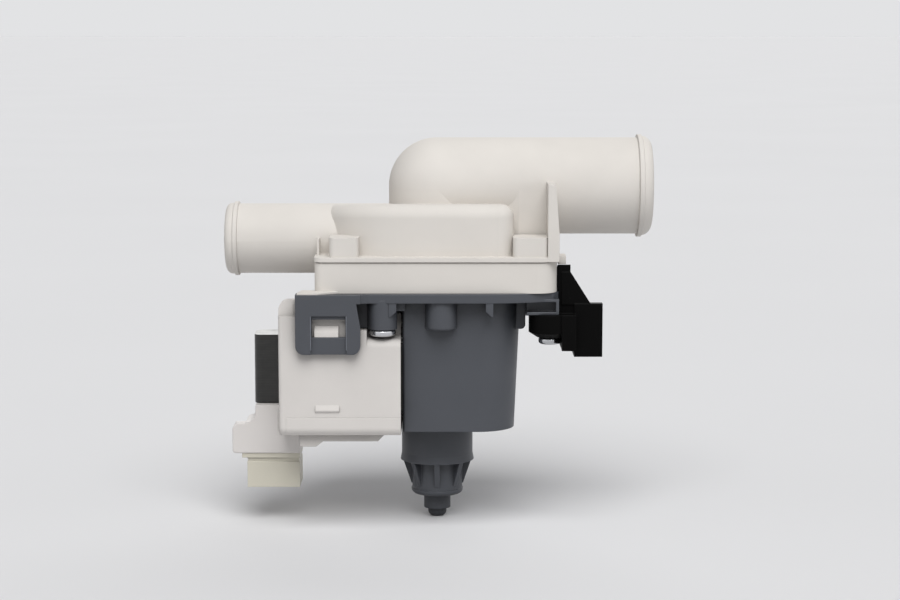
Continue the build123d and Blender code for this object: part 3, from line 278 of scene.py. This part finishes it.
def wound_wire(name, colour, pitch=0.00035):
    """Enamelled wire laid turn by turn along X."""
    m = Nodes(name)
    turn = m.maths("FRACT", m.maths("MULTIPLY", m.one_axis(m.place, "X"), 1 / pitch))
    round_wire = m.maths("ABSOLUTE", m.maths("SUBTRACT", turn, 0.5))
    tone = m.mixed(m.ranged(m.noise(200, 4), 0, 1), scaled(colour, 0.8), scaled(colour, 1.15))
    # Each turn darker towards its sides: painted shade of the round wire and of the crevice
    # between turns
    m.join(m.mixed(m.ranged(round_wire, 0, 1, 0.25, 0.5), tone, scaled(colour, 0.25)),
           m.shader.inputs["Base Color"])
    m.join(m.ranged(m.noise(400, 3), 0.28, 0.42), m.shader.inputs["Roughness"])
    m.shader.inputs["Metallic"].default_value = 0.7
    m.join(m.bump(round_wire, 0.00015, -0.8), m.shader.inputs["Normal"])
    return m.material


def sintered(name, colour, roughness=0.6):
    """Pressed powder, such as a magnet or a porous bearing."""
    m = Nodes(name)
    speckle = m.ranged(m.noise(900, 4), 0, 1)
    m.join(m.mixed(speckle, scaled(colour, 0.75), scaled(colour, 1.4)),
           m.shader.inputs["Base Color"])
    m.join(m.ranged(m.noise(150, 4), roughness - 0.08, roughness + 0.1),
           m.shader.inputs["Roughness"])
    m.shader.inputs["Metallic"].default_value = 0.35
    m.join(m.bump(m.noise(1400, 3), 0.00004, 0.7, m.soft_edges(0.0003)),
           m.shader.inputs["Normal"])
    return m.material


def dress(node_names, material):
    """Gives CAD nodes a material in every slot of their objects."""
    for name in node_names:
        for slot in nodes[name].material_slots:
            slot.material = material


def dress_all():
    """Materials for every node of the pump."""
    # Edges come out lighter and corners darker in these plastics: rubbing and dirt, with painted
    # highlight and painted shade where the factors are strong
    dress(["volute_housing", "volute_base"],
          moulded_plastic("white_housing", white_housing, 0.66, sheen=0.06, dust_and_shade=0.86))
    # Strong darkening near the tab, plate and screw: painted shade
    dress(["coil_cover"], moulded_plastic("white_cover", white_cover, 0.60, sheen=0.15,
                                          dust_and_shade=0.35, dust_and_shade_reach=0.018, dust_and_shade_share=0.95))
    dress(["terminal_housing"], moulded_plastic("white_terminal", white_terminal, 0.45))
    dress(["connector_header"], moulded_plastic("cream_connector", cream, 0.40))
    # Strongly lightened edges and darkened spots under the plate and block: painted highlight and
    # painted shade
    dress(["motor_support"],
          moulded_plastic("gray_support", gray, 0.47, 0.00005, edge=0.0006, wear_and_highlight=2.0, sheen=0.4,
                          dust_and_shade=0.2, dust_and_shade_reach=0.016, dust_and_shade_share=0.95, dust_and_shade_open=0.9))
    # Strongly lightened edges on the black bracket: painted highlight
    dress(["mounting_bracket"],
          moulded_plastic("black_bracket", black, 0.5, 0.00004, edge=0.0006, wear_and_highlight=5.0, sheen=0.05))
    dress(["bearing_holder"], moulded_plastic("dark_holder", scaled(gray, 0.7), 0.5))
    dress(["shaft_driver"], moulded_plastic("black_driver", black, 0.42, wear_and_highlight=2.0))
    dress(["impeller"], moulded_plastic("light_impeller", white_terminal, 0.38))
    dress(["rotor_hub"], moulded_plastic("light_hub", cream, 0.45))
    dress(["front_bobbin", "rear_bobbin"], moulded_plastic("light_bobbin", cream, 0.48))
    dress(["thermal_protector"], moulded_plastic("black_protector", black, 0.45, wear_and_highlight=2.0))
    dress(["front_winding_tape", "rear_winding_tape"],
          moulded_plastic("yellow_tape", tape_yellow, 0.25, 0.00001))
    dress(["housing_seal", "lower_cushion", "upper_cushion", "shaft_seal", "coupling_dampers"],
          rubber("black_rubber"))
    dress(["front_winding", "rear_winding"], wound_wire("copper_wire", copper))
    dress(["stator_core"], laminated_steel("laminated_steel"))
    dress(["housing_screws", "bracket_screw"], bare_metal("zinc_plate", zinc, 0.19, (1, 1, 1)))
    dress(["rotor_shaft"], bare_metal("ground_steel", steel, 0.22))
    dress(["seal_cap", "impeller_clip", "thrust_washers"],
          bare_metal("stainless_sheet", steel, 0.32, (12, 1, 1)))
    dress(["terminal_pins"], bare_metal("tinned_brass", brass, 0.3))
    dress(["lower_bearing", "upper_bearing"], sintered("bearing_metal", scaled(steel, 0.45)))
    dress(["rotor_magnet"], sintered("ferrite", ferrite))


def seen_directly(tree):
    """1 for what the camera sees, also by a reflection, and 0 for light that spreads."""
    path = tree.nodes.new("ShaderNodeLightPath")
    mirrored = tree.nodes.new("ShaderNodeMath")
    mirrored.operation = "MAXIMUM"
    tree.links.new(path.outputs["Is Glossy Ray"], mirrored.inputs[0])
    tree.links.new(path.outputs["Is Transmission Ray"], mirrored.inputs[1])
    seen = tree.nodes.new("ShaderNodeMath")
    seen.operation = "MAXIMUM"
    tree.links.new(path.outputs["Is Camera Ray"], seen.inputs[0])
    tree.links.new(mirrored.outputs[0], seen.inputs[1])
    return seen.outputs[0]


def strip_lines():
    """The thin light lines along both sides of the latch tab's strip, three-sided bars in a
    lighter gray that is a painted highlight of the strip's edges.
    """
    # A lighter gray that stands in for light caught by the strip's edges: painted highlight
    gray_painted_highlight = moulded_plastic("gray_painted_highlight", scaled(gray, 2.6), 0.45)
    back = tab_front + line_depth
    for name, outer, inner in (("strip_line_left", strip_left, strip_left + line_width),
                               ("strip_line_right", strip_right, strip_right - line_width)):
        plan = [(outer, tab_front), (inner, tab_front), (inner, back)]
        points = [(x, y, z) for z in (strip_low, strip_high) for x, y in plan]
        ends = [(0, 1, 2), (5, 4, 3)]
        sides = [(0, 3, 4, 1), (1, 4, 5, 2), (2, 5, 3, 0)]
        mesh = bpy.data.meshes.new(name)
        mesh.from_pydata(points, [], ends + sides)
        mesh.validate()
        mesh.materials.append(gray_painted_highlight)
        line = bpy.data.objects.new(name, mesh)
        bpy.context.scene.collection.objects.link(line)
        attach(line, "body")


def floor():
    """A large pale floor in the tone of the surroundings, which throws less light back."""
    bpy.ops.mesh.primitive_circle_add(vertices=96, radius=floor_radius, fill_type="NGON",
                                      location=(0, 0, floor_height))
    plane = bpy.context.object
    plane.name = "floor"
    m = Nodes("pale_floor")
    shown = m.mixed(m.ranged(m.noise(3, 2), 0, 1), scaled(floor_colour, 0.985), floor_colour)
    m.join(m.mixed(seen_directly(m.tree), scaled(floor_colour, floor_bounce), shown),
           m.shader.inputs["Base Color"])
    m.shader.inputs["Roughness"].default_value = 0.9
    m.shader.inputs["Specular IOR Level"].default_value = 0.1
    plane.data.materials.append(m.material)


def world():
    """An even surround: pale where it is seen, and dim as a light."""
    surround = bpy.data.worlds.new("surround")
    bpy.context.scene.world = surround
    surround.use_nodes = True
    tree = surround.node_tree
    tree.nodes.clear()
    light = tree.nodes.new("ShaderNodeBackground")
    light.inputs["Color"].default_value = surround_light
    shown = tree.nodes.new("ShaderNodeBackground")
    shown.inputs["Color"].default_value = surround_shown
    mix = tree.nodes.new("ShaderNodeMixShader")
    tree.links.new(seen_directly(tree), mix.inputs["Fac"])
    tree.links.new(light.outputs[0], mix.inputs[1])
    tree.links.new(shown.outputs[0], mix.inputs[2])
    output = tree.nodes.new("ShaderNodeOutputWorld")
    tree.links.new(mix.outputs[0], output.inputs["Surface"])


def lamp(name, direction, spread, strength):
    """Soft, even light that comes from a direction; the spread is in degrees."""
    data = bpy.data.lights.new(name, "SUN")
    data.angle = math.radians(spread)
    data.energy = strength
    light = bpy.data.objects.new(name, data)
    light.rotation_euler = Vector(direction).to_track_quat("Z", "Y").to_euler()
    bpy.context.scene.collection.objects.link(light)


def camera():
    """The camera at the photograph's place."""
    data = bpy.data.cameras.new("camera")
    data.lens = camera_lens
    data.sensor_width = camera_sensor
    data.clip_start = 0.01
    data.clip_end = 50
    eye = bpy.data.objects.new("camera", data)
    eye.location = camera_place
    eye.rotation_euler = (math.radians(90 - camera_tilt), 0, 0)
    bpy.context.scene.collection.objects.link(eye)
    bpy.context.scene.camera = eye


dress_all()
strip_lines()
floor()
world()
lamp("key", (0.06, -0.59, 0.81), 45, 2.56)
lamp("right_fill", (1.0, -0.5, 0.45), 60, 0.34)
lamp("left_fill", (-1.0, -0.5, 0.45), 60, 0.22)
lamp("back_fill", (0.3, 1.0, 0.5), 70, 1.0)
camera()
bpy.context.scene.view_settings.view_transform = "Standard"
